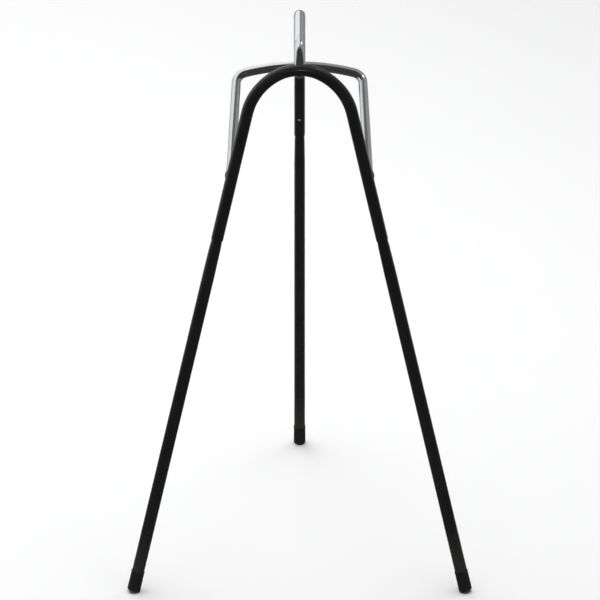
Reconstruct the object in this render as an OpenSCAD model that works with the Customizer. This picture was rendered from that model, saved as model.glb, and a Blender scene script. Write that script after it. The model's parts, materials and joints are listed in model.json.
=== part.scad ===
// Three-legged tube stand: a black front arch on two legs, a single rear leg, a chrome gooseneck from the
// crown to the rear post, and a chrome brace hoop. Millimetres, +Z up, +Y towards the rear leg.
// The origin is on the ground, midway between the front feet in X and between front and rear in Y.

/* [Stance] */
// Distance between the front legs' centre lines at the ground
foot_spread = 679; // [560:1:820]
// Height of the centre line of the arch's crown above the ground
crown_height = 1117; // [1000:1:1340]
// Distance from the line of the front feet back to the rear foot
rear_reach = 602; // [540:1:720]
// Backward lean of the plane of the front arch, in degrees
front_lean = 9.5; // [6:0.5:12]
// Forward lean of the rear leg, in degrees
rear_lean = 11; // [9:0.5:13]

/* [Tubes] */
// Outer diameter of the front arch and the front legs
front_tube_d = 25; // [22:0.5:30]
// Outer diameter of the rear leg and the rear post sleeve
rear_tube_d = 22; // [20:0.5:23]
// Outer diameter of the chrome gooseneck
neck_tube_d = 23.5; // [23:0.5:28]
// Outer diameter of the side rails and the cross arc
rail_tube_d = 19; // [16:0.5:22]
// Wall thickness of every tube
tube_wall = 1.5; // [1.2:0.1:1.8]

/* [Arch and gooseneck] */
// Bend radius of the crown's middle, to the centre line
crown_bend_r = 94; // [76:1:110]
// Bend radius of the arch's shoulders, to the centre line
shoulder_bend_r = 125; // [112:1:150]
// Half the angle that the crown's middle bend spans, in degrees
crown_half = 32; // [26:1:40]
// Rise of the gooseneck's level stretch above the crown, centre line to centre line
neck_rise = 40; // [34:1:47]
// Slope of the gooseneck where it leaves the crown, in degrees
neck_slope = 60; // [50:1:65]
// Bend radius of the gooseneck, to the centre line
neck_bend_r = 65; // [50:1:72]

/* [Brace hoop] */
// Distance of the rails' feet up the front legs from the ground end
rail_foot_at = 903; // [840:1:960]
// Distance of the cross arc up the rear leg from the ground end
arc_at = 1037; // [1020:1:1065]
// Inward turn of each rail towards the rear, in degrees
rail_toe_in = 3; // [0:0.5:5]
// Bend radius of the hoop's corners, to the centre line
corner_bend_r = 25; // [22:1:32]
// Radius of the shallow cross arc, to the centre line
arc_r = 404; // [320:1:520]
// Length of a rail's spigot inside the cross arc
rail_spigot = 22; // [12:1:26]
// Distance of a rail's screw below the point where its axis meets the leg
tab_len = 24; // [20:1:30]

/* [Leg joints] */
// Length of a front lower leg from the ground end to the rim of the arch tube
front_leg_len = 781; // [640:1:830]
// Length of the rear lower leg from the ground end to the rim of the sleeve
rear_leg_len = 834; // [690:1:850]
// Visible length of the black sleeve above the rear lower leg
sleeve_len = 160; // [130:1:170]
// Length of a swaged neck inside the tube above it
swage_len = 64; // [58:1:76]
// Radial clearance of a swaged neck in its tube
swage_fit = 0.15; // [0.1:0.05:0.25]
// Height of a spring button above the rim of its tube
button_at = 49; // [36:1:50]
// Diameter of a spring button
button_d = 6; // [5:0.5:7]
// How far a spring button stands out of its tube
button_out = 2.5; // [2:0.25:3]

/* [Feet] */
// Length of a rubber foot cap
cap_len = 43; // [34:1:54]
// Wall thickness of a rubber foot cap
cap_wall = 1.0; // [0.8:0.1:2]
// Thickness of a foot cap's bottom
cap_floor = 4; // [3:0.5:6]

/* [Fasteners] */
// Thread diameter of the frame screws
screw_d = 6; // [5:0.5:6]
// Diameter of a screw's low round head
screw_head_d = 11; // [10:0.5:12]

/* [Hidden] */
$fn = 64;

// Small gaps and details
lap = 0.3;              // how far a straight stretch of tube runs into the bend next to it
step = 0.08;            // how much thinner its wall is there on each side, so that it lies inside
rest_gap = 0.1;         // between pieces that rest on each other
hole_gap = 0.3;         // radial, around a button or a screw shank
cap_edge_r = 2;         // rounding of a foot cap's bottom edge
lip_r = 0.4;            // rounding of a foot cap's top edge
link_len = 1.2;         // short straight stretch between the arch's bends
shoulder_len = 14;      // quick cone below a joint's rim
taper_len = 60;         // slow taper below the shoulder
shoulder_drop = 1.4;    // how much smaller the shoulder is than the leg
rim_gap = 1;            // height of the small step between a leg's shoulder and the rim above
neck_lip = 0.5;         // bevel at the top of a swaged neck
head_h = 3;             // height of a screw head
head_edge = 0.6;        // straight edge of a screw head, and the bevel at its tip
clip_w = 8;             // width of a spring clip's strip
clip_t = 0.8;           // thickness of a spring clip's strip
clip_arm = 38;          // reach of a clip's arms below the button
clip_gap = 0.25;        // between a clip's arms and the tube's wall
button_edge_r = 1.4;    // rounding of a button's rim
face_step = 15;         // degrees between the points of a small rounded edge
tab_t = 3;              // thickness of a rail's foot plate
tab_w = 22;             // width of a rail's foot plate
plate_reach = 24;       // how far the foot plate runs past the rail's axis
trim = 50;              // half the width of the block that trims the rail's tube at its plate
rivet_flange_t = 1;     // flange of a rivet nut
rivet_body_d = 9;       // body of a rivet nut
rivet_body_len = 9;     // length of a rivet nut inside its tube
plug_len = 13;          // length of the threaded plug in the gooseneck
plug_gap = 1.4;         // from the crown's back to the plug's middle
rivet_d = 3.9;          // shank of the sleeve's rivet
rivet_head_d = 8;       // head of the sleeve's rivet
rivet_edge = 0.3;       // straight edge of the rivet's head
rivet_at = 16;          // height of the rivet above the post's rim
collar_deg = 0.3;       // how far a spigot runs into the corner bend, in degrees of the arc
arc_end_gap = 0.05;     // between the cross arc's end and the corner bend, in degrees of the arc

front_r = front_tube_d / 2;
rear_r = rear_tube_d / 2;
neck_r = neck_tube_d / 2;
rail_r = rail_tube_d / 2;
front_bore_r = front_r - tube_wall;
rear_bore_r = rear_r - tube_wall;
neck_bore_r = neck_r - tube_wall;
rail_bore_r = rail_r - tube_wall;
front_swage_r = front_bore_r - swage_fit;
rear_swage_r = rear_bore_r - swage_fit;
sleeve_swage_r = neck_bore_r - swage_fit;
front_cap_r = front_r + cap_wall;
rear_cap_r = rear_r + cap_wall;

// A round end with a rounded edge, tilted by t, whose lowest point touches the ground
function end_height(r, t) = (r - cap_edge_r) * sin(t) + cap_edge_r * (1 - cos(t));

// Front plane: X across, s up the plane. The crown's bend runs into the shoulders' wider bends, and the
// legs are tangent to those. A shoulder's centre lies past the middle, on the far side from its leg.
crown_s = crown_height / cos(front_lean);
bend_s = crown_s - crown_bend_r;
foot_x = foot_spread / 2;
shoulder_c = [0, bend_s] - (shoulder_bend_r - crown_bend_r) * [sin(crown_half), cos(crown_half)]
    + link_len * [cos(crown_half), -sin(crown_half)];
link_start = [0, bend_s] + crown_bend_r * [sin(crown_half), cos(crown_half)];
link_end = shoulder_c + shoulder_bend_r * [sin(crown_half), cos(crown_half)];
foot_to_bend = norm([foot_x, 0] - shoulder_c);
splay = atan2(foot_x - shoulder_c[0], shoulder_c[1]) - asin(shoulder_bend_r / foot_to_bend);
front_tilt = acos(cos(splay) * cos(front_lean));
front_end_z = end_height(front_cap_r, front_tilt);
front_end_s = front_end_z / cos(front_lean);
front_end_x = foot_x - front_end_s * tan(splay);
leg_straight = (shoulder_c[1] + shoulder_bend_r * sin(splay) - front_end_s) / cos(splay);
crown_y = crown_s * sin(front_lean);

// Rear line: a height l up the rear leg is at [Y, Z]
rear_end_z = end_height(rear_cap_r, rear_lean);
function rear_at(l) = [rear_reach - l * sin(rear_lean), rear_end_z + l * cos(rear_lean)];
function rear_y(z) = rear_reach - (z - rear_end_z) * tan(rear_lean);
post_rim = rear_leg_len + sleeve_len;

// The whole stand is shifted so that the origin is in the middle of its depth
front_edge_y = front_end_s * sin(front_lean)
    - (front_cap_r - cap_edge_r) * sqrt(1 - pow(cos(splay) * sin(front_lean), 2)) - cap_edge_r;
rear_edge_y = rear_reach + (rear_cap_r - cap_edge_r) * cos(rear_lean)
    - cap_edge_r * sin(rear_lean) + cap_edge_r;
mid_y = (front_edge_y + rear_edge_y) / 2;

// Gooseneck, in the middle plane as [Y, Z]
level_z = crown_height + neck_rise;
neck_start = [crown_y, crown_height];
neck_lead = (neck_rise - neck_bend_r * (1 - cos(neck_slope))) / sin(neck_slope);
bend1_c = [crown_y + neck_lead * cos(neck_slope) + neck_bend_r * sin(neck_slope), level_z - neck_bend_r];
bend2_c = [rear_y(level_z - neck_bend_r) - neck_bend_r / cos(rear_lean), level_z - neck_bend_r];
bend2_end = bend2_c + neck_bend_r * [cos(rear_lean), sin(rear_lean)];
plug_from = asin(max(front_r + plug_gap - neck_lead, 0) / neck_bend_r);
plug_turn = plug_len / neck_bend_r * 180 / PI;
plug_end = max(front_r + plug_gap, neck_lead) + plug_len;

// Brace hoop: a plane from the rails' feet up to the front of the rear post
rail_foot_s = front_end_s + rail_foot_at * cos(splay);
rail_foot_x = front_end_x - rail_foot_at * sin(splay);
rail_foot = [rail_foot_s * sin(front_lean), rail_foot_s * cos(front_lean)];
arc_stand = neck_r + rest_gap + rivet_flange_t + rest_gap + rail_r;
arc_mid = rear_at(arc_at) - arc_stand * [cos(rear_lean), sin(rear_lean)];
hoop_slope = atan2(arc_mid[1] - rail_foot[1], arc_mid[0] - rail_foot[0]);
hoop_len = norm(arc_mid - rail_foot);
arc_c = [0, hoop_len - arc_r];
rail_dir = [-sin(rail_toe_in), cos(rail_toe_in)];
fillet_0 = [rail_foot_x - corner_bend_r * cos(rail_toe_in), -corner_bend_r * sin(rail_toe_in)] - arc_c;
fillet_along = fillet_0 * rail_dir;
rail_len = -fillet_along
    + sqrt(pow(fillet_along, 2) - fillet_0 * fillet_0 + pow(arc_r - corner_bend_r, 2));
corner_c = arc_c + fillet_0 + rail_len * rail_dir;
arc_half = atan2(corner_c[0] - arc_c[0], corner_c[1] - arc_c[1]);
spigot_half = arc_half - rail_spigot / arc_r * 180 / PI;

// Foot plate of a rail: it stands on the rivet nut's flange, on the back of the leg
plate_z = rest_gap + rivet_flange_t;
spigot_r = rail_bore_r - swage_fit;

COAT = [0.09, 0.09, 0.10];
CHROME = [0.82, 0.83, 0.85];
RUBBER = [0.13, 0.13, 0.13];
STEEL = [0.62, 0.63, 0.65];

// ---- Shapes that repeat ----

// Cross-section of a tube
module ring(ro, ri) {
    difference() {
        circle(ro);
        if (ri > 0) circle(ri);
    }
}

// Tube between two points of the local XZ plane. It laps into the bends at its ends by lap_p and lap_q.
// Its seam is turned to lie on the outside of those bends, where theirs is.
module straight(p, q, ro, ri, lap_p = lap, lap_q = lap, seam = 180) {
    d = q - p;
    translate([p[0], 0, p[1]]) rotate([0, atan2(d[0], d[1]), 0]) translate([0, 0, -lap_p])
        rotate([0, 0, seam]) linear_extrude(norm(d) + lap_p + lap_q) ring(ro - step, ri + step);
}

// Tube bent about a centre in the local XZ plane, from angle a0 to angle a1
module bend(c, r, a0, a1, ro, ri) {
    translate([c[0], 0, c[1]]) rotate([90, -a0, 0]) rotate_extrude(angle = a1 - a0, $fn = 160)
        translate([r, 0]) ring(ro, ri);
}

module centred() translate([0, -mid_y, 0]) children();
module front_plane() centred() rotate([-front_lean, 0, 0]) children();

// The right side as it is, the left side mirrored
module on_side(side) {
    if (side > 0) children();
    else mirror([1, 0, 0]) children();
}

// Frame of a front leg: local Z runs up the leg from its ground end, local Y points back
module on_front_leg(side) {
    front_plane() translate([side * front_end_x, 0, front_end_s]) rotate([0, -side * splay, 0]) children();
}

// Frame of the rear leg: local Z runs up the leg from its ground end, local -Y points to the front
module on_rear_leg() {
    centred() translate([0, rear_reach, rear_end_z]) rotate([rear_lean, 0, 0]) children();
}

// Middle plane, with local X running back
module middle_plane() centred() rotate([0, 0, 90]) children();

module hoop_plane() {
    centred() translate([0, rail_foot[0], rail_foot[1]]) rotate([hoop_slope - 90, 0, 0]) children();
}

// Lower leg: a tube with a shoulder and a swaged neck on top
module lower_leg(len, r, swage_r) {
    top = len + swage_len;
    slow = len - shoulder_len;
    start = cap_floor + rest_gap;
    s = shoulder_drop / 2;
    rotate_extrude() polygon([
        [r - tube_wall, start], [r, start], [r, slow - taper_len], [r - s, slow],
        [swage_r, len - rim_gap], [swage_r, top - 2], [swage_r - neck_lip, top],
        [swage_r - tube_wall, top], [swage_r - tube_wall, len - 3],
        [r - s - tube_wall, slow - 2], [r - tube_wall, slow - taper_len - 2]
    ]);
}

module button_hole(r, at, facing) {
    translate([0, 0, at]) rotate([facing * 90, 0, 0]) cylinder(r = button_d / 2 + hole_gap, h = r + 5);
}

// Spring button with its arm; it presses towards the leg's centre line
module spring_button(tube_r, bore_r, at, facing) {
    arm_out = sqrt(pow(bore_r, 2) - pow(clip_w / 2, 2)) - clip_gap;
    tip = tube_r + button_out;
    e = button_edge_r;
    translate([0, 0, at]) rotate([facing * 90, 0, 0]) {
        rotate_extrude() polygon(concat(
            [[0, arm_out - clip_t / 2], [button_d / 2, arm_out - clip_t / 2]],
            [for (a = [0:face_step:90]) [button_d / 2 - e * (1 - cos(a)), tip - e + e * sin(a)]],
            [[0, tip]]
        ));
        translate([-clip_w / 2, facing > 0 ? -clip_arm : 1 - clip_w, arm_out - clip_t])
            cube([clip_w, clip_arm + clip_w - 1, clip_t]);
    }
}

// Fixed half of a spring clip: the arm on the far wall and the bend below
module spring_clip(bore_r, at, facing) {
    out = sqrt(pow(bore_r, 2) - pow(clip_w / 2, 2)) - clip_gap;
    translate([0, 0, at - clip_arm - 1]) rotate([0, 0, facing > 0 ? 0 : 180]) {
        translate([-clip_w / 2, out - clip_t, 0]) cube([clip_w, clip_t, clip_arm + 8]);
        rotate([90, 0, 90]) linear_extrude(clip_w, center = true) difference() {
            circle(out);
            circle(out - clip_t);
            translate([-out - 1, 0]) square(2 * out + 2);
        }
    }
}

module foot_cap(tube_r, cap_r) {
    e = cap_edge_r;
    rotate_extrude() polygon(concat(
        [[0, 0]],
        [for (a = [-90:face_step:0]) [cap_r - e + e * cos(a), e + e * sin(a)]],
        [for (a = [0:2 * face_step:90]) [cap_r - lip_r + lip_r * cos(a), cap_len - lip_r + lip_r * sin(a)]],
        [[tube_r + rest_gap / 2, cap_len], [tube_r + rest_gap / 2, cap_floor], [0, cap_floor]]
    ));
}

// Low round-headed screw: the head's underside is at z = 0 and the shank runs down
module screw(len) {
    rotate_extrude() polygon(concat(
        [[0, -len], [screw_d / 2 - head_edge, -len], [screw_d / 2, head_edge - len], [screw_d / 2, 0]],
        [for (a = [0:face_step:90]) [screw_head_d / 2 * cos(a), head_edge + (head_h - head_edge) * sin(a)]]
    ), $fn = 48);
}

// Rivet nut: the flange's top is at z = 0 and the body runs down
module rivet_nut() {
    difference() {
        union() {
            cylinder(d = rivet_body_d + 2, h = rivet_flange_t);
            translate([0, 0, -rivet_body_len]) cylinder(d = rivet_body_d, h = rivet_body_len + 0.5);
        }
        translate([0, 0, -2 * rivet_body_len]) cylinder(d = screw_d + 2 * rest_gap, h = 3 * rivet_body_len);
    }
}

// Hole for a rivet nut in one wall of a tube, which is centred r below the local origin
module nut_hole(r) {
    translate([0, 0, -r]) cylinder(d = rivet_body_d + 2 * rest_gap, h = 1.5 * r);
}

// ---- Frame ----

module front_arch() {
    color(COAT) difference() {
        union() {
            front_plane()
                bend([0, bend_s], crown_bend_r, 90 - crown_half, 90 + crown_half, front_r, front_bore_r);
            for (side = [-1, 1]) {
                front_plane() on_side(side) {
                    straight(link_start, link_end, front_r, front_bore_r);
                    bend(shoulder_c, shoulder_bend_r, splay, 90 - crown_half, front_r, front_bore_r);
                }
                on_front_leg(side) translate([0, 0, front_leg_len]) rotate([0, 0, side > 0 ? 0 : 180])
                    linear_extrude(leg_straight - front_leg_len + lap)
                        ring(front_r - step, front_bore_r + step);
            }
        }
        for (side = [-1, 1]) on_front_leg(side) button_hole(front_r, front_leg_len + button_at, -1);
        for (side = [-1, 1]) rail_fixing(side) nut_hole(front_r);
        crown_fixing() translate([0, 0, -2 * front_r]) cylinder(d = screw_d + 2 * hole_gap, h = 4 * front_r);
    }
}

module front_leg(side) {
    color(COAT) on_front_leg(side) difference() {
        lower_leg(front_leg_len, front_r, front_swage_r);
        button_hole(front_r, front_leg_len + button_at, -1);
    }
}

module rear_leg() {
    color(COAT) on_rear_leg() difference() {
        lower_leg(rear_leg_len, rear_r, rear_swage_r);
        button_hole(rear_r, rear_leg_len + button_at, 1);
    }
}

// Black sleeve over the rear leg's neck; its own neck goes up into the gooseneck's post, to below the
// rivet nut of the cross arc
module rear_sleeve() {
    top = arc_at - rivet_body_d;
    color(COAT) on_rear_leg() difference() {
        rotate_extrude() polygon([
            [rear_bore_r, rear_leg_len], [rear_r - 0.4, rear_leg_len], [rear_r, rear_leg_len + 0.6],
            [rear_r, post_rim - 2], [sleeve_swage_r, post_rim - rim_gap], [sleeve_swage_r, top - 1],
            [sleeve_swage_r - neck_lip, top], [sleeve_swage_r - tube_wall, top],
            [sleeve_swage_r - tube_wall, post_rim + 1], [rear_bore_r, post_rim - 3]
        ]);
        button_hole(rear_r, rear_leg_len + button_at, 1);
        sleeve_rivet_hole();
    }
}

module sleeve_rivet_hole() {
    translate([0, 0, post_rim + rivet_at]) rotate([-90, 0, 0])
        cylinder(d = rivet_d + hole_gap, h = 2 * neck_r);
}

// ---- Chrome ----

// The gooseneck leaves the crown, levels off, and turns down into the rear post
module neck_path(ro, ri) {
    bend1_start = bend1_c + neck_bend_r * [-sin(neck_slope), cos(neck_slope)];
    middle_plane() {
        straight(neck_start, bend1_start, ro, ri, 0, lap);
        bend(bend1_c, neck_bend_r, 90, 90 + neck_slope, ro, ri);
        straight([bend1_c[0], level_z], [bend2_c[0], level_z], ro, ri);
        bend(bend2_c, neck_bend_r, rear_lean, 90, ro, ri);
        straight(bend2_end, rear_at(post_rim), ro, ri, lap, 0);
    }
}

module neck_tube() {
    color(CHROME) difference() {
        neck_path(neck_r, neck_bore_r);
        crown_notch();
        on_rear_leg() sleeve_rivet_hole();
        arc_fixing() nut_hole(neck_r);
    }
}

// The round notch by which the gooseneck's end sits on the crown
module crown_notch() {
    centred() translate([0, crown_y, crown_height]) rotate([0, 90, 0])
        cylinder(r = front_r + rest_gap, h = 4 * neck_r, center = true);
}

module hoop_side(side) hoop_plane() on_side(side) children();

// A side rail: a plate on the back of the leg, the tube welded to it, the corner bend and a spigot
module rail(side) {
    color(CHROME) difference() {
        union() {
            rail_fixing(side) translate([0, 0, plate_z]) foot_plate();
            difference() {
                hoop_side(side) {
                    straight(rail_point(0), rail_point(rail_len), rail_r, rail_bore_r, 0, lap, 0);
                    bend(corner_c, corner_bend_r, rail_toe_in, 90 - arc_half, rail_r, rail_bore_r);
                }
                rail_fixing(side) translate([-trim, -trim, plate_z - 2 * trim])
                    cube([2 * trim, 3 * trim, 2 * trim + tab_t / 2]);
            }
            hoop_side(side) {
                bend(arc_c, arc_r, 90 - arc_half - collar_deg, 90 - spigot_half,
                    spigot_r, spigot_r - tube_wall);
                bend(arc_c, arc_r, 90 - arc_half - 0.8 * collar_deg, 90 - arc_half - 0.2 * collar_deg,
                    rail_bore_r + tube_wall / 2, spigot_r - tube_wall / 2);
            }
        }
        rail_fixing(side) cylinder(d = screw_d + 2 * hole_gap, h = 4 * tab_t);
    }
}

function rail_point(q) = [rail_foot_x, 0] + q * rail_dir;

module foot_plate() {
    linear_extrude(tab_t) {
        circle(d = tab_w);
        translate([-tab_w / 2, 0]) square([tab_w, tab_len + plate_reach]);
    }
}

// Frame of a rail's fixing: origin on the back of the leg, local Z pointing back out of it, local Y up
module rail_fixing(side) {
    on_front_leg(side) translate([0, front_r, rail_foot_at - tab_len]) rotate([-90, 180, 0]) children();
}

module cross_arc() {
    color(CHROME) difference() {
        hoop_plane()
            bend(arc_c, arc_r, 90 - arc_half + arc_end_gap, 90 + arc_half - arc_end_gap, rail_r, rail_bore_r);
        arc_fixing() cylinder(d = screw_d + 2 * hole_gap, h = 3 * rail_r);
    }
}

// Frame of the arc's fixing: origin on the front of the rear post, local Z pointing to the front
module arc_fixing() {
    on_rear_leg() translate([0, -neck_r, arc_at]) rotate([90, 0, 0]) children();
}

// Frame of the crown's fixing: origin at the crown's centre, local Z up the gooseneck's first stretch
module crown_fixing() {
    centred() translate([0, crown_y, crown_height]) rotate([neck_slope - 90, 0, 0]) children();
}

// ---- Fasteners ----

module crown_screw() {
    color(STEEL) crown_fixing() rotate([180, 0, 0]) translate([0, 0, front_r + rest_gap])
        screw(front_r + plug_end);
}

// Threaded plug in the start of the gooseneck's first bend, which it follows
module neck_plug() {
    color(STEEL) difference() {
        middle_plane() bend(bend1_c, neck_bend_r, 90 + neck_slope - plug_from - plug_turn,
            90 + neck_slope - plug_from, neck_bore_r - swage_fit, 0);
        crown_fixing() cylinder(d = screw_d + 2 * rest_gap, h = plug_end + plug_len);
    }
}

module rail_screws() {
    color(STEEL) for (side = [-1, 1]) rail_fixing(side)
        translate([0, 0, plate_z + tab_t + rest_gap]) screw(tab_t + 2 * screw_d);
}

module rail_rivet_nuts() {
    color(STEEL) for (side = [-1, 1]) rail_fixing(side) rivet_nut();
}

module arc_screw() {
    color(STEEL) arc_fixing() translate([0, 0, arc_stand - neck_r + rail_r + rest_gap])
        screw(2 * rail_r + rivet_body_len);
}

module arc_rivet_nut() {
    color(STEEL) arc_fixing() rivet_nut();
}

module sleeve_rivet() {
    r = rivet_head_d / 2;
    color(STEEL) on_rear_leg() translate([0, neck_r + rest_gap, post_rim + rivet_at]) rotate([-90, 0, 0])
        rotate_extrude($fn = 48) polygon(concat(
            [[0, -rivet_head_d], [rivet_d / 2, -rivet_head_d], [rivet_d / 2, 0]],
            [for (a = [0:face_step:90]) [r * cos(a), rivet_edge + r * sin(a) / 3]]
        ));
}

// ---- What is drawn ----

front_arch();
front_leg(-1);  // front_leg_left
front_leg(1);  // front_leg_right
rear_sleeve();
rear_leg();
neck_tube();
rail(-1);  // rail_left
rail(1);  // rail_right
cross_arc();
color(RUBBER) on_front_leg(-1) foot_cap(front_r, front_cap_r);  // foot_cap_left
color(RUBBER) on_front_leg(1) foot_cap(front_r, front_cap_r);  // foot_cap_right
color(RUBBER) on_rear_leg() foot_cap(rear_r, rear_cap_r);  // foot_cap_rear
color(CHROME) on_front_leg(-1)  // button_left
    spring_button(front_r, front_swage_r - tube_wall, front_leg_len + button_at, -1);
color(CHROME) on_front_leg(1)  // button_right
    spring_button(front_r, front_swage_r - tube_wall, front_leg_len + button_at, -1);
color(CHROME) on_rear_leg()  // button_rear
    spring_button(rear_r, rear_swage_r - tube_wall, rear_leg_len + button_at, 1);
color(STEEL) on_front_leg(-1)  // spring_clip_left
    spring_clip(front_swage_r - tube_wall, front_leg_len + button_at, -1);
color(STEEL) on_front_leg(1)  // spring_clip_right
    spring_clip(front_swage_r - tube_wall, front_leg_len + button_at, -1);
color(STEEL) on_rear_leg()  // spring_clip_rear
    spring_clip(rear_swage_r - tube_wall, rear_leg_len + button_at, 1);
crown_screw();
neck_plug();
rail_screws();
rail_rivet_nuts();
arc_screw();
arc_rivet_nut();
sleeve_rivet();
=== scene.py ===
import json
import math

import bmesh
import bpy
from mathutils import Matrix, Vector, noise


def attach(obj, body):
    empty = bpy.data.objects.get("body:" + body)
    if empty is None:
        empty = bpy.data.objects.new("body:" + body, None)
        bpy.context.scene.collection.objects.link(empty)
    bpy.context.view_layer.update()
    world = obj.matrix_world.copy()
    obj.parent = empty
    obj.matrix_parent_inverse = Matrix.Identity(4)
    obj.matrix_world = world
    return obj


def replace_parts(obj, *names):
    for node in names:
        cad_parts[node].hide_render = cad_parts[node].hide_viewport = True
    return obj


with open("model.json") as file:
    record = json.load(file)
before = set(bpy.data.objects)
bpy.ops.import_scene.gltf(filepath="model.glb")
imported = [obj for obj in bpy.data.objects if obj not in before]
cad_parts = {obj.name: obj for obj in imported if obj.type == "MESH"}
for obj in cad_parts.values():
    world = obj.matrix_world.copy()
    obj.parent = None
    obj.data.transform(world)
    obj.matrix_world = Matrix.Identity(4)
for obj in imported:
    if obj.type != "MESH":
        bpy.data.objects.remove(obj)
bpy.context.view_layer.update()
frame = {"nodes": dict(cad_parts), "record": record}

record = frame["record"]
nodes = frame["nodes"]
mounts = {mount["name"]: mount for mount in record["mounts"]}


# ---- Node helpers: a value is a node's output socket, or a plain number or colour ----

def new_material(name):
    material = bpy.data.materials.new(name)
    material.use_nodes = True
    tree = material.node_tree
    return material, tree, tree.nodes["Principled BSDF"]


def feed(tree, value, socket):
    """Links a socket's value to an input, or sets the input to a plain number or colour."""
    if isinstance(value, bpy.types.NodeSocket):
        tree.links.new(value, socket)
    elif isinstance(value, tuple):
        socket.default_value = (*value, 1.0)
    else:
        socket.default_value = value


def mapped(tree, scale=(1, 1, 1)):
    """Object coordinates, stretched by a scale on each axis."""
    place = tree.nodes.new("ShaderNodeTexCoord")
    mapping = tree.nodes.new("ShaderNodeMapping")
    mapping.inputs["Scale"].default_value = scale
    feed(tree, place.outputs["Object"], mapping.inputs["Vector"])
    return mapping.outputs["Vector"]


def coordinate(tree, axis, kind="Object"):
    """One axis of the place (Object) or of the direction looked in (Generated, in a world)."""
    place = tree.nodes.new("ShaderNodeTexCoord")
    split = tree.nodes.new("ShaderNodeSeparateXYZ")
    feed(tree, place.outputs[kind], split.inputs["Vector"])
    return split.outputs[axis]


def ray_is(tree, kind):
    """1 for the kind of ray that is named, otherwise 0."""
    return tree.nodes.new("ShaderNodeLightPath").outputs[f"Is {kind} Ray"]


def noise_at(tree, place, scale, detail=4.0, rough=0.55):
    node = tree.nodes.new("ShaderNodeTexNoise")
    node.inputs["Scale"].default_value = scale
    node.inputs["Detail"].default_value = detail
    node.inputs["Roughness"].default_value = rough
    feed(tree, place, node.inputs["Vector"])
    return node.outputs["Fac"]


def span(tree, value, low, high, to_low=0.0, to_high=1.0):
    """Maps low..high of a value onto to_low..to_high, clamped."""
    node = tree.nodes.new("ShaderNodeMapRange")
    node.inputs["From Min"].default_value = low
    node.inputs["From Max"].default_value = high
    node.inputs["To Min"].default_value = to_low
    node.inputs["To Max"].default_value = to_high
    feed(tree, value, node.inputs["Value"])
    return node.outputs["Result"]


def maths(tree, operation, a, b):
    node = tree.nodes.new("ShaderNodeMath")
    node.operation = operation
    feed(tree, a, node.inputs[0])
    feed(tree, b, node.inputs[1])
    return node.outputs["Value"]


def raised(tree, value, extra, weight):
    """A value plus a share of another."""
    return maths(tree, "ADD", value, maths(tree, "MULTIPLY", extra, weight))


def mixed(tree, factor, a, b, kind="RGBA"):
    """Goes from a to b as the factor goes from 0 to 1, for colours (RGBA) or plain numbers (FLOAT)."""
    # A Mix node's sockets go by number, because their names repeat
    first_in, out = {"FLOAT": (2, 0), "RGBA": (6, 2)}[kind]
    node = tree.nodes.new("ShaderNodeMix")
    node.data_type = kind
    feed(tree, factor, node.inputs[0])
    feed(tree, a, node.inputs[first_in])
    feed(tree, b, node.inputs[first_in + 1])
    return node.outputs[out]


def layer(tree, under, over, value, low=0.0, high=1.0, most=1.0):
    """Lays one colour over another, by up to most, as a value goes from low to high."""
    return mixed(tree, span(tree, value, low, high, 0.0, most), under, over)


def bump(tree, height, strength, distance, under=None):
    """A bump over the one under it, with its depth in metres."""
    node = tree.nodes.new("ShaderNodeBump")
    node.inputs["Strength"].default_value = strength
    node.inputs["Distance"].default_value = distance
    feed(tree, height, node.inputs["Height"])
    if under is not None:
        feed(tree, under, node.inputs["Normal"])
    return node.outputs["Normal"]


def height_mask(tree, low, high):
    """1 at height low and below, 0 at height high and above, in metres over the ground."""
    return span(tree, coordinate(tree, "Z"), low, high, 1.0, 0.0)


# ---- Materials: noise scales are per metre, colours are linear red, green and blue ----

def black_coat():
    """Gloss black with orange peel, upright hairline scratches, small chips, and dust near the ground."""
    material, tree, shader = new_material("black_coat")
    black, faded = (0.0125, 0.0125, 0.0132), (0.0175, 0.0172, 0.0170)
    dust_tone, scratch_tone, chip_tone = (0.11, 0.095, 0.075), (0.05, 0.05, 0.052), (0.10, 0.10, 0.105)
    even = mapped(tree)
    broad = noise_at(tree, even, 14.0, 3.0)
    peel = noise_at(tree, even, 720.0, 2.0, 0.45)
    fine = noise_at(tree, even, 2600.0, 2.0)
    hairline = span(tree, noise_at(tree, mapped(tree, (900, 900, 22)), 1.0, 3.0, 0.6), 0.69, 0.76)
    chips = span(tree, noise_at(tree, even, 260.0, 6.0, 0.7), 0.735, 0.755)
    dust = maths(tree, "MULTIPLY", height_mask(tree, 0.045, 0.17), noise_at(tree, even, 95.0, 6.0, 0.65))

    colour = layer(tree, black, faded, broad, 0.3, 0.7)
    colour = layer(tree, colour, dust_tone, dust, 0.1, 0.75, most=0.35)
    colour = layer(tree, colour, scratch_tone, hairline, most=0.30)
    colour = layer(tree, colour, chip_tone, chips, most=0.5)
    feed(tree, colour, shader.inputs["Base Color"])
    rough = span(tree, broad, 0.25, 0.75, 0.17, 0.27)
    rough = raised(tree, rough, hairline, 0.18)
    rough = raised(tree, rough, dust, 0.35)
    feed(tree, rough, shader.inputs["Roughness"])
    surface = bump(tree, peel, 0.16, 0.00012)
    surface = bump(tree, fine, 0.05, 0.00004, surface)
    surface = bump(tree, maths(tree, "MULTIPLY", chips, -1.0), 0.25, 0.00008, surface)
    feed(tree, surface, shader.inputs["Normal"])
    shader.inputs["IOR"].default_value = 1.46
    shader.inputs["Coat Weight"].default_value = 0.25
    shader.inputs["Coat Roughness"].default_value = 0.08
    return material


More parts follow.
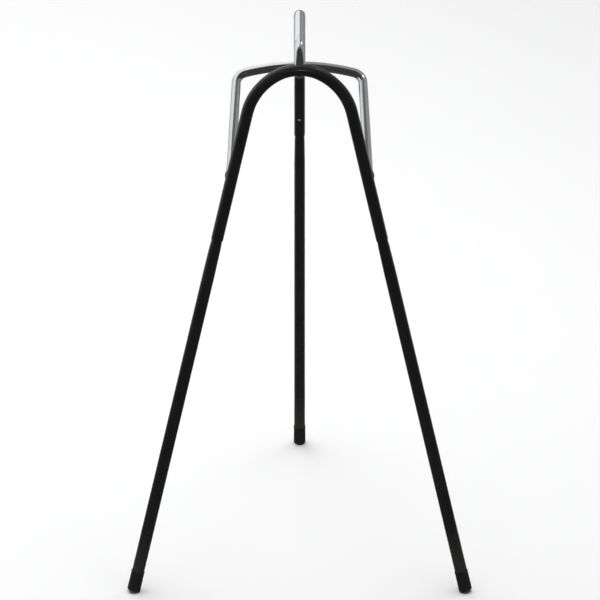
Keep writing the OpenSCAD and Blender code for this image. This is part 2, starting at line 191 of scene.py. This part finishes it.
def chrome():
    """Polished chrome with faint polishing lines both ways, smudges and a few pits."""
    material, tree, shader = new_material("chrome")
    plate, bright = (0.80, 0.81, 0.83), (0.86, 0.865, 0.87)
    smudge_tone, pit_tone = (0.66, 0.665, 0.67), (0.35, 0.33, 0.31)
    even = mapped(tree)
    broad = noise_at(tree, even, 22.0, 4.0)
    smudge = span(tree, noise_at(tree, even, 75.0, 5.0, 0.62), 0.52, 0.72)
    lines_up = noise_at(tree, mapped(tree, (1500, 1500, 60)), 1.0, 3.0, 0.6)
    lines_across = noise_at(tree, mapped(tree, (60, 1300, 1300)), 1.0, 3.0, 0.6)
    pits = span(tree, noise_at(tree, even, 900.0, 2.0), 0.76, 0.79)

    colour = layer(tree, plate, bright, broad, 0.3, 0.7)
    colour = layer(tree, colour, smudge_tone, smudge, most=0.25)
    colour = layer(tree, colour, pit_tone, pits, most=0.6)
    feed(tree, colour, shader.inputs["Base Color"])
    shader.inputs["Metallic"].default_value = 1.0
    smudged = span(tree, smudge, 0.0, 1.0, 0.045, 0.13)
    rough = maths(tree, "ADD", smudged, span(tree, lines_up, 0.45, 0.75, 0.0, 0.07))
    feed(tree, rough, shader.inputs["Roughness"])
    surface = bump(tree, lines_up, 0.05, 0.00003)
    surface = bump(tree, lines_across, 0.04, 0.00003, surface)
    surface = bump(tree, broad, 0.05, 0.0006, surface)
    feed(tree, surface, shader.inputs["Normal"])
    return material


def rubber():
    """Matt moulded rubber, scuffed where it meets the ground."""
    material, tree, shader = new_material("rubber")
    dark, light, scuff_tone = (0.010, 0.010, 0.010), (0.019, 0.0185, 0.018), (0.075, 0.070, 0.062)
    even = mapped(tree)
    grain = noise_at(tree, even, 2300.0, 4.0, 0.6)
    mould = noise_at(tree, even, 210.0)
    streaks = span(tree, noise_at(tree, mapped(tree, (160, 160, 900)), 1.0, 5.0, 0.65), 0.5, 0.66)
    scuffs = maths(tree, "MULTIPLY", streaks, height_mask(tree, 0.004, 0.03))

    colour = layer(tree, dark, light, mould, 0.3, 0.7)
    colour = layer(tree, colour, scuff_tone, scuffs, most=0.55)
    feed(tree, colour, shader.inputs["Base Color"])
    rough = raised(tree, span(tree, mould, 0.25, 0.75, 0.56, 0.72), scuffs, 0.18)
    feed(tree, rough, shader.inputs["Roughness"])
    surface = bump(tree, grain, 0.35, 0.00008)
    surface = bump(tree, mould, 0.12, 0.0003, surface)
    feed(tree, surface, shader.inputs["Normal"])
    shader.inputs["IOR"].default_value = 1.5
    return material


def zinc_steel():
    """Zinc plate with a fine crystal pattern over turning marks."""
    material, tree, shader = new_material("zinc_steel")
    dark, light, crystal_tone = (0.50, 0.505, 0.52), (0.63, 0.63, 0.62), (0.42, 0.42, 0.45)
    even = mapped(tree)
    cloud = noise_at(tree, even, 190.0, 5.0, 0.6)
    cells = tree.nodes.new("ShaderNodeTexVoronoi")
    cells.inputs["Scale"].default_value = 900.0
    feed(tree, even, cells.inputs["Vector"])
    crystal = cells.outputs["Distance"]
    lathe = noise_at(tree, mapped(tree, (300, 2600, 2600)), 1.0, 3.0)

    colour = layer(tree, dark, light, cloud, 0.3, 0.7)
    colour = layer(tree, colour, crystal_tone, crystal, 0.0, 0.8, most=0.2)
    feed(tree, colour, shader.inputs["Base Color"])
    shader.inputs["Metallic"].default_value = 1.0
    feed(tree, span(tree, cloud, 0.25, 0.75, 0.24, 0.42), shader.inputs["Roughness"])
    surface = bump(tree, lathe, 0.12, 0.00004)
    surface = bump(tree, crystal, 0.06, 0.00004, surface)
    feed(tree, surface, shader.inputs["Normal"])
    return material


def chromed_weld():
    """Chromed weld: the plating follows the ripples and is duller than on the tube."""
    material, tree, shader = new_material("chromed_weld")
    dark, light = (0.60, 0.60, 0.61), (0.78, 0.785, 0.79)
    cloud = noise_at(tree, mapped(tree), 420.0, 5.0, 0.6)
    feed(tree, layer(tree, dark, light, cloud, 0.3, 0.7), shader.inputs["Base Color"])
    shader.inputs["Metallic"].default_value = 1.0
    feed(tree, span(tree, cloud, 0.25, 0.75, 0.12, 0.30), shader.inputs["Roughness"])
    feed(tree, bump(tree, cloud, 0.2, 0.0002), shader.inputs["Normal"])
    return material


MATERIALS = {"black_coat": black_coat(), "chrome": chrome(), "rubber": rubber(), "zinc_steel": zinc_steel()}
WELD = chromed_weld()

for sub in record["subparts"]:
    part = nodes[sub["node"]]
    if not part.material_slots:
        part.data.materials.append(None)
    for slot in part.material_slots:
        slot.material = MATERIALS[sub["material_slot"]]


# ---- Mesh helpers, in metres ----

def basis(axis):
    """Three unit vectors, the third along axis."""
    w = Vector(axis).normalized()
    level = Vector((0.0, 0.0, 1.0)) if abs(w.z) < 0.9 else Vector((1.0, 0.0, 0.0))
    u = w.cross(level).normalized()
    return u, w.cross(u), w


def mesh_object(bm, name, material, sharp_angle):
    """Makes an object from a bmesh, smooth except at edges sharper than an angle in radians."""
    bmesh.ops.recalc_face_normals(bm, faces=bm.faces)
    mesh = bpy.data.meshes.new(name)
    bm.to_mesh(mesh)
    bm.free()
    for face in mesh.polygons:
        face.use_smooth = True
    mesh.set_sharp_from_angle(angle=sharp_angle)
    piece = bpy.data.objects.new(name, mesh)
    bpy.context.scene.collection.objects.link(piece)
    mesh.materials.append(material)
    return piece


def revolve(name, rings, origin, axis, segments, material, shape=None):
    """Closed body of revolution. rings holds (radius, height) from one pole to the other, both of radius 0.
    shape(ring index, angle) scales a ring's radius at an angle."""
    u, v, w = basis(axis)
    origin = Vector(origin)
    bm = bmesh.new()
    rows = []
    for k, (r, h) in enumerate(rings):
        if r == 0.0:
            rows.append([bm.verts.new(origin + w * h)])
            continue
        row = []
        for i in range(segments):
            a = 2 * math.pi * i / segments
            q = r * (shape(k, a) if shape else 1.0)
            row.append(bm.verts.new(origin + u * (q * math.cos(a)) + v * (q * math.sin(a)) + w * h))
        rows.append(row)
    for lower, upper in zip(rows, rows[1:]):
        for i in range(segments):
            j = (i + 1) % segments
            if len(lower) == 1:
                bm.faces.new((lower[0], upper[i], upper[j]))
            elif len(upper) == 1:
                bm.faces.new((lower[i], lower[j], upper[0]))
            else:
                bm.faces.new((lower[i], lower[j], upper[j], upper[i]))
    return mesh_object(bm, name, material, 0.6)


def points_of(node, side=0):
    """A CAD node's vertices, all of them or those on one side (-1 or 1) of the middle plane."""
    points = [vertex.co.copy() for vertex in nodes[node].data.vertices]
    return [p for p in points if p.x * side >= 0]


def along_and_out(points, origin, axis):
    """Each point's distance along an axis and its distance from it."""
    w = Vector(axis).normalized()
    res = []
    for p in points:
        d = p - Vector(origin)
        h = d.dot(w)
        res.append((h, (d - w * h).length))
    return res


def arc_points(cx, cy, r, start, end, count):
    """Points on an arc, with its angles in degrees."""
    angles = [math.radians(start + (end - start) * i / count) for i in range(count + 1)]
    return [(cx + r * math.cos(a), cy + r * math.sin(a)) for a in angles]


# ---- Foot caps: moulded rubber with a tread, grip ribs and a rolled lip ----

SOLE = 0.0006                      # from the cap's end up to the sole between the tread rings
TREAD = 0.00005                    # from the cap's end up to the tread rings' faces
TREAD_AT = (0.26, 0.46, 0.66)      # where they start, as shares of the cap's radius
TREAD_SLOPE, TREAD_WIDTH = 0.03, 0.12    # the sloped side of a ring and the whole ring, as the same shares
SOLE_EDGE = 0.002                  # rounding of the sole's edge
GROOVES, GROOVE_AT, GROOVE_PITCH = 4, 0.006, 0.0026
GROOVE_DEPTH = 0.0004
GROOVE_RUN = (0.0, 0.00035, 0.00075, 0.0011)    # heights of a groove's four corners
LIP_DOWN = 0.0032                  # how far below the rim the rolled lip starts
LIP_R = 0.0013                     # radius of the roll
LIP_IN, LIP_UP = 0.0009, 0.0016    # its centre, from the wall and from where it starts
SEAT_EDGE = 0.001                  # bevel where the bore meets its floor


def foot_cap(side_name):
    node = "foot_cap_" + side_name
    mount = mounts["foot_" + side_name]
    origin = Vector(mount["pos_m"])
    up = -Vector(mount["axis"]).normalized()
    measured = along_and_out(points_of(node), origin, up)
    length = max(h for h, r in measured)
    wall = max(r for h, r in measured)
    bore = min(r for h, r in measured if h > 0.9 * length)
    seat = min(h for h, r in measured if abs(r - bore) < 0.0002 and h > 0.001)

    rings = [(0.0, SOLE), (0.18 * wall, SOLE)]
    for k in TREAD_AT:
        rings += [(k * wall, SOLE), ((k + TREAD_SLOPE) * wall, TREAD),
                  ((k + TREAD_WIDTH - TREAD_SLOPE) * wall, TREAD), ((k + TREAD_WIDTH) * wall, SOLE)]
    rings += [(wall - SOLE_EDGE - 0.0004, SOLE), (wall - SOLE_EDGE - 0.0002, 0.0)]
    rings += arc_points(wall - SOLE_EDGE, SOLE_EDGE, SOLE_EDGE, -90, 0, 8)
    for i in range(GROOVES):
        corners = [GROOVE_AT + i * GROOVE_PITCH + rise for rise in GROOVE_RUN]
        floor_r = wall - GROOVE_DEPTH
        rings += zip((wall, floor_r, floor_r, wall), corners)
    lip = length - LIP_DOWN
    rings += [(wall - 0.0001, 0.55 * length), (wall - 0.0002, lip - 0.0012), (wall - 0.00015, lip - 0.0004)]
    rings += arc_points(wall - LIP_IN, lip + LIP_UP, LIP_R, -60, 60, 8)
    rings += [(bore + 0.00055, length - 0.0001), (bore + 0.00025, length), (bore, length - 0.0003),
              (bore, seat + SEAT_EDGE), (bore - SEAT_EDGE, seat), (0.0, seat)]
    cap = revolve("cap_" + side_name, rings, origin, up, 96, MATERIALS["rubber"])
    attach(cap, "frame")
    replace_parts(cap, node)


for name in ("left", "right", "rear"):
    foot_cap(name)


# ---- Screws: low round head with a hexagon socket ----

CHAMFER = 0.0006                   # at the tip
THREAD_PITCH, THREAD_DEPTH = 0.001, 0.00045
PLAIN_SHANK = 0.004                # left without thread under the head
HEAD_EDGE = 0.0003                 # bevel under the head's rim
HEAD_RIM = 0.0006                  # height of the rim below the dome
DOME_POINTS, DOME_STEP = 8, 9      # step in degrees
SOCKET_R, SOCKET_DEPTH = 0.00205, 0.0017
SOCKET_LAND = 1.25                 # flat round the socket, as a share of the socket's radius


def long_axis(points):
    """The middle and the long direction of a turned piece, by power iteration on its points."""
    middle = sum(points, Vector()) / len(points)
    d = Vector((0.31, 0.62, 0.72))
    for _ in range(60):
        pull = Vector()
        for p in points:
            q = p - middle
            pull += q * q.dot(d)
        d = pull.normalized()
    return middle, d


def screw(name, node, side=0):
    points = points_of(node, side)
    middle, d = long_axis(points)
    measured = along_and_out(points, middle, d)
    head_r = max(r for h, r in measured)
    if sum(h for h, r in measured if r > 0.95 * head_r) < 0:
        d = -d
        measured = along_and_out(points, middle, d)
    top = max(h for h, r in measured)
    tip = min(h for h, r in measured)
    under = min(h for h, r in measured if r > 0.8 * head_r)
    shank = max(r for h, r in measured if h < under - 0.002)

    rings = [(0.0, tip), (shank - CHAMFER, tip), (shank, tip + CHAMFER)]
    h = tip + CHAMFER
    while h + THREAD_PITCH < under - PLAIN_SHANK:
        rings += [(shank, h + 0.2 * THREAD_PITCH), (shank - THREAD_DEPTH, h + 0.6 * THREAD_PITCH),
                  (shank, h + THREAD_PITCH)]
        h += THREAD_PITCH
    rings += [(shank, under), (head_r - HEAD_EDGE, under), (head_r, under + HEAD_EDGE)]
    rim = under + HEAD_RIM
    rise = top - rim
    for i in range(DOME_POINTS):
        a = math.radians(DOME_STEP * i)
        rings.append((head_r * math.cos(a), rim + rise * math.sin(a)))
    land = len(rings)
    land_r = SOCKET_LAND * SOCKET_R
    flat = rim + rise * math.sqrt(max(0.0, 1 - (land_r / head_r) ** 2))
    bottom = flat - SOCKET_DEPTH
    rings += [(land_r, flat), (1.04 * SOCKET_R, flat - 0.0001), (SOCKET_R, flat - 0.0003),
              (SOCKET_R, bottom), (0.5 * SOCKET_R, bottom - 0.0003), (0.0, bottom - 0.0005)]

    def hexagon(k, a):
        """Round up to the land, then six flats a socket radius from the middle."""
        if k <= land:
            return 1.0
        return 1.0 / math.cos((a % (math.pi / 3)) - math.pi / 6)

    piece = revolve(name, rings, middle, d, 48, MATERIALS["zinc_steel"], hexagon)
    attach(piece, "frame")
    return piece


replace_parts(screw("socket_screw_crown", "crown_screw"), "crown_screw")
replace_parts(screw("socket_screw_arc", "arc_screw"), "arc_screw")
right_screw = screw("socket_screw_rail_right", "rail_screws", 1)
left_screw = screw("socket_screw_rail_left", "rail_screws", -1)
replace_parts(right_screw, "rail_screws")
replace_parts(left_screw, "rail_screws")


# ---- Weld beads where the rails meet their foot plates ----

# The part's own sizes, the same as in part.scad
RAIL_FOOT_AT = 0.903               # from a foot up its leg to the rail's axis
RAIL_R = 0.0095
PLATE_FACE = 0.0125 + 0.0011 + 0.003    # from the leg's axis: its radius, the rivet nut's flange, the plate
TOE_IN = math.radians(3.0)         # how far a rail turns towards the middle on its way back

BEAD_STEPS, SECTION_STEPS = 140, 12
BEAD_WIDTH, BEAD_HEIGHT = 0.0019, 0.0015    # half the bead's width and half its height
BEAD_OUT = 0.0004                  # how far the bead's middle lies outside the tube
RIPPLES, RIPPLE = 28, 0.16         # how many, and how much they swell the bead
UNEVEN, UNEVEN_SCALE = 0.14, 320.0


def weld_bead(side, name):
    mount = mounts["foot_" + name]
    up = -Vector(mount["axis"]).normalized()
    lean = math.atan2(up.y, up.z)
    back = Vector((0.0, math.cos(lean), -math.sin(lean)))
    foot = Vector(mount["pos_m"]) + up * RAIL_FOOT_AT
    arc = [p for p in points_of("cross_arc") if abs(p.x) < 0.03]
    mid = sum(arc, Vector()) / len(arc)
    slope = math.atan2(mid.z - foot.z, mid.y - foot.y)
    forward = math.cos(TOE_IN)
    d = Vector((-side * math.sin(TOE_IN), forward * math.cos(slope), forward * math.sin(slope)))

    # The seam: the rail's surface, followed along the rail to the plate's face
    a, b, _ = basis(d)
    face = foot + back * PLATE_FACE
    seam = []
    for i in range(BEAD_STEPS):
        turn = 2 * math.pi * i / BEAD_STEPS
        p = foot + (a * math.cos(turn) + b * math.sin(turn)) * RAIL_R
        seam.append(p + d * ((face - p).dot(back) / d.dot(back)))
    centre = sum(seam, Vector()) / BEAD_STEPS

    bm = bmesh.new()
    rows = []
    for i, p in enumerate(seam):
        tangent = (seam[(i + 1) % BEAD_STEPS] - seam[i - 1]).normalized()
        out = tangent.cross(back).normalized()
        if out.dot(p - centre) < 0:
            out = -out
        wave = math.sin(RIPPLES * 2 * math.pi * i / BEAD_STEPS)
        swell = 1.0 + RIPPLE * wave + UNEVEN * noise.noise(p * UNEVEN_SCALE)
        row = []
        for j in range(SECTION_STEPS):
            q = 2 * math.pi * j / SECTION_STEPS
            across = BEAD_OUT + BEAD_WIDTH * swell * math.cos(q)
            row.append(bm.verts.new(p + out * across + back * (BEAD_HEIGHT * swell * math.sin(q))))
        rows.append(row)
    for i in range(BEAD_STEPS):
        p, q = rows[i], rows[(i + 1) % BEAD_STEPS]
        for j in range(SECTION_STEPS):
            k = (j + 1) % SECTION_STEPS
            bm.faces.new((p[j], p[k], q[k], q[j]))
    bead = mesh_object(bm, "weld_rail_" + name, WELD, 1.2)
    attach(bead, "frame")


weld_bead(1, "right")
weld_bead(-1, "left")


# ---- Floor ----

FLOOR_HALF = 12.0


def floor():
    """Pale paint. For reflections its colour is painted dark in front and lighter behind: a painted
    reflection of a sweep lit from the back.
    """
    bm = bmesh.new()
    bmesh.ops.create_grid(bm, x_segments=8, y_segments=8, size=FLOOR_HALF)
    mesh = bpy.data.meshes.new("floor")
    bm.to_mesh(mesh)
    bm.free()
    ground = bpy.data.objects.new("floor", mesh)
    bpy.context.scene.collection.objects.link(ground)
    material, tree, shader = new_material("floor_paint")
    paint = mixed(tree, noise_at(tree, mapped(tree), 3.0, 2.0), (0.90, 0.90, 0.90), (0.92, 0.92, 0.92))
    # Painted light: reflections see a colour painted dark in front and lighter behind, in place of a sweep
    # lit from the back
    painted_reflection_tone = layer(tree, (0.045, 0.045, 0.046), (0.50, 0.50, 0.50), coordinate(tree, "Y"), 0.2, 1.8)
    feed(tree, mixed(tree, ray_is(tree, "Glossy"), paint, painted_reflection_tone), shader.inputs["Base Color"])
    shader.inputs["Roughness"].default_value = 0.9
    shader.inputs["Specular IOR Level"].default_value = 0.1
    mesh.materials.append(material)


floor()


# ---- Light ----

def area_light(name, place, target, width, height, energy, glossy=True):
    """A softbox at a place, turned to its target. With glossy off it lights surfaces but shows in none."""
    light = bpy.data.lights.new(name, "AREA")
    light.energy = energy
    light.size = width
    if height != width:
        light.shape = "RECTANGLE"
        light.size_y = height
    box = bpy.data.objects.new(name, light)
    box.location = place
    box.rotation_euler = (Vector(target) - Vector(place)).to_track_quat("-Z", "Y").to_euler()
    box.visible_glossy = glossy
    bpy.context.scene.collection.objects.link(box)


def card(name, place, target, width, height, brightness):
    """A softbox that shows in the gloss. The brightness of its face doesn't depend on its size."""
    area_light(name, place, target, width, height, brightness * math.pi * width * height)


area_light("fill", (0.0, 0.3, 4.6), (0.0, 0.0, 0.0), 5.0, 5.0, 225.0, glossy=False)
card("card_over_left", (-1.75, 1.45, 3.7), (-1.75, 1.45, 0.0), 3.4, 2.9, 0.58)
card("card_back_left", (-1.75, 3.2, 2.3), (-1.75, 0.0, 2.3), 3.4, 3.2, 0.66)
card("card_left", (-3.5, 1.1, 1.9), (0.0, 1.1, 1.9), 3.6, 3.4, 0.48)
card("card_front", (0.1, -4.6, 2.9), (0.0, 0.0, 0.9), 0.5, 0.35, 8.0)
card("strip_right", (1.5, 0.9, 3.6), (0.0, 0.0, 1.0), 0.30, 0.6, 4.5)


def studio():
    """White to the camera. To everything else it is dark in front and brighter behind."""
    world = bpy.data.worlds.new("studio")
    world.use_nodes = True
    tree = world.node_tree
    background = tree.nodes["Background"]
    front_dark = span(tree, coordinate(tree, "Y", "Generated"), -0.12, 0.14, 0.045, 0.31)
    background.inputs["Color"].default_value = (0.98, 0.99, 1.0, 1.0)
    strength = mixed(tree, ray_is(tree, "Camera"), front_dark, 1.0, "FLOAT")
    feed(tree, strength, background.inputs["Strength"])
    return world


scene = bpy.context.scene
scene.world = studio()
scene.view_settings.view_transform = "Standard"
scene.view_settings.look = "None"


# ---- Camera: the photo's view from above, from so far away that it is almost parallel ----

ELEVATION = math.radians(30.0)
DISTANCE = 50.0
VIEW_WIDTH = 1.2255                # across the picture, at the aim
AIM = Vector((0.0008, 0.0, 0.5132))
SENSOR = 36.0                      # in millimetres

camera = bpy.data.cameras.new("camera")
camera.sensor_width = SENSOR
camera.lens = SENSOR * DISTANCE / VIEW_WIDTH
camera.clip_end = 1000.0
stand = bpy.data.objects.new("camera", camera)
stand.location = AIM + Vector((0.0, -math.cos(ELEVATION), math.sin(ELEVATION))) * DISTANCE
stand.rotation_euler = (AIM - stand.location).to_track_quat("-Z", "Y").to_euler()
scene.collection.objects.link(stand)
scene.camera = stand
